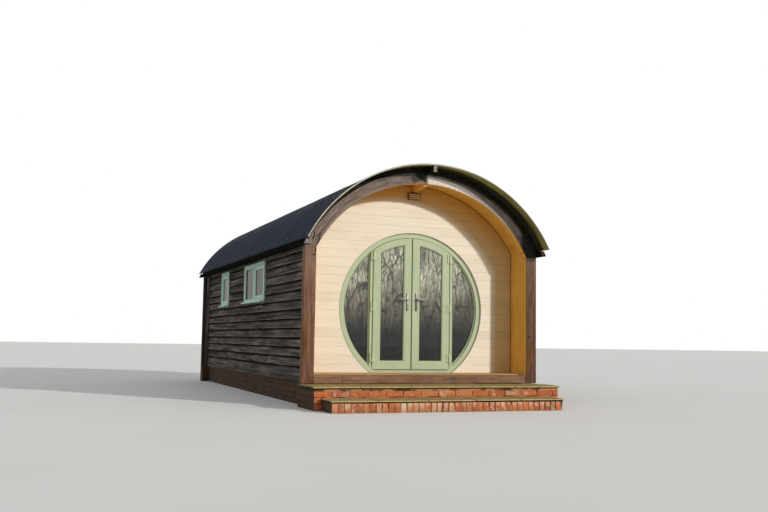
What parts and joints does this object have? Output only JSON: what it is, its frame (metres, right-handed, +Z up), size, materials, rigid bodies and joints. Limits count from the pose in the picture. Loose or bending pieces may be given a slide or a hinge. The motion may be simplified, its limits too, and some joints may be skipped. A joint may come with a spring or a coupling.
{
  "type": "glamping pod",
  "caption": "Arched timber glamping pod with a round glazed doorset in a recessed porch, curved metal roof, boarded sides and a brick platform with a step.",
  "frame": {"origin": "middle of the footprint at ground level, under the room", "axes": "+Z up, +Y from the front doors to the rear wall, +X to the right as seen from the front"},
  "size_m": [3.3236, 8.1, 3.0295],
  "materials": {
    "stained_timber": "weathered brown stain",
    "dark_boards": "weathered black-brown stain",
    "cream_paint": "painted boards",
    "sage_paint": "satin paint",
    "window_paint": "satin paint",
    "glazing": "clear double glazing",
    "roof_metal": "weathered dark slate blue coating",
    "roof_timber": "rough boards",
    "brick": "fired clay with mortar joints",
    "paving_stone": "mossy riven slab",
    "floor_boards": "oiled boards",
    "lining_paint": "painted boards",
    "hinge_metal": "white coating",
    "handle_metal": "polished",
    "light_housing": "bronze plastic"
  },
  "bodies": {
    "pod": {"platform_bricks": "brick", "step_bricks": "brick", "plinth_walls": "brick", "platform_slab": "paving_stone", "step_slab": "paving_stone", "floor": "floor_boards", "front_posts": "stained_timber", "rear_posts": "stained_timber", "front_sill_beam": "stained_timber", "rear_sill_beam": "stained_timber", "front_arch": "stained_timber", "rear_arch": "stained_timber", "eaves_beams": "stained_timber", "ridge_beam": "cream_paint", "ridge_blocks": "roof_timber", "roof_deck": "roof_timber", "roof_sheet": "roof_metal", "ceiling": "lining_paint", "porch_soffit": "cream_paint", "porch_cheeks": "cream_paint", "wall_left": "lining_paint", "wall_right": "lining_paint", "cladding_left": "dark_boards", "cladding_right": "dark_boards", "front_gable": "cream_paint", "rear_wall": "dark_boards", "door_frame": "sage_paint", "door_mullions": "sage_paint", "sidelight_beads": "sage_paint", "sidelight_glass": "glazing", "frame_hinges": "hinge_metal", "window_frames_left": "window_paint", "window_frames_right": "window_paint", "window_glass_left": "glazing", "window_glass_right": "glazing", "porch_light": "light_housing"},
    "door_left": {"door_leaf_left": "sage_paint", "door_glass_left": "glazing", "leaf_hinges_left": "hinge_metal", "handle_plates_left": "handle_metal"},
    "lever_left": {"door_lever_left": "handle_metal"},
    "door_right": {"door_leaf_right": "sage_paint", "door_glass_right": "glazing", "leaf_hinges_right": "hinge_metal", "handle_plates_right": "handle_metal"},
    "lever_right": {"door_lever_right": "handle_metal"}
  },
  "joints": [
    {"name": "left_door_hinge", "type": "hinge", "parent": "pod", "child": "door_left", "pos_m": [-0.5425, -2.682, 1.245], "axis": [0, 0, -1], "range_deg": [0, 100]},
    {"name": "left_lever_turn", "type": "hinge", "parent": "door_left", "child": "lever_left", "pos_m": [-0.063, -2.64, 1.35], "axis": [0, -1, 0], "range_deg": [0, 40], "stiffness_Nm_per_rad": 1.2, "springref_deg": -34.38},
    {"name": "right_door_hinge", "type": "hinge", "parent": "pod", "child": "door_right", "pos_m": [0.5425, -2.682, 1.245], "axis": [0, 0, 1], "range_deg": [0, 100]},
    {"name": "right_lever_turn", "type": "hinge", "parent": "door_right", "child": "lever_right", "pos_m": [0.063, -2.64, 1.35], "axis": [0, 1, 0], "range_deg": [0, 40], "stiffness_Nm_per_rad": 1.2, "springref_deg": -34.38}
  ]
}
